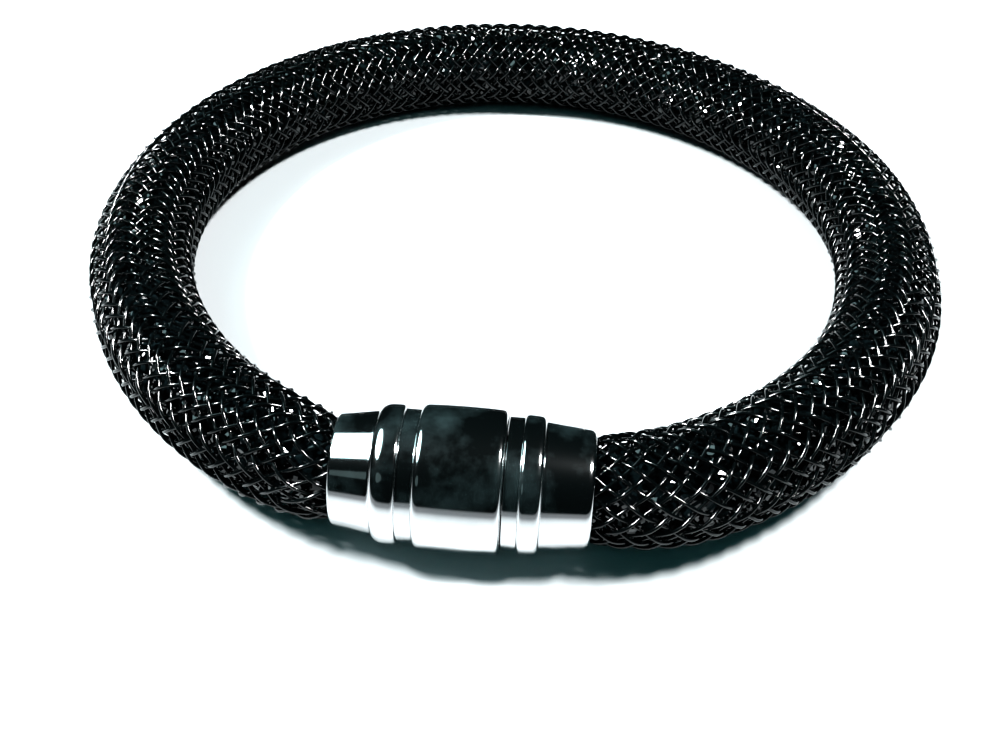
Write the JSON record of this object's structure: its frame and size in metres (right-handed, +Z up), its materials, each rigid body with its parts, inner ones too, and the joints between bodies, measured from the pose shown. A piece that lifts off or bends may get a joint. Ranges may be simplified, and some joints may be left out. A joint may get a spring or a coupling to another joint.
{
  "type": "crystal bracelet",
  "caption": "Closed loop of woven net tube filled with small dark cut crystals, held by a turned steel magnetic barrel clasp, lying flat as an open ring.",
  "frame": {"origin": "on the surface it lies on, under the middle of the bracelet's bounding box", "axes": "+Z up, out of the loop's face; the clasp is in front, towards -Y, with its axis along X and its plug half towards +X"},
  "size_m": [0.068, 0.067, 0.0097],
  "materials": {
    "net": "glossy black monofilament net, woven over and under",
    "crystal": "faceted near-black crystal, opaque",
    "steel": "mirror-polished stainless steel with faint handling smudges",
    "magnet": "plain nickel plate, out of sight"
  },
  "bodies": {
    "root": {"net_tube": "net", "crystal_fill": "crystal", "clasp_socket": "steel", "clasp_plug": "steel", "socket_magnet": "magnet", "plug_magnet": "magnet"}
  },
  "joints": []
}
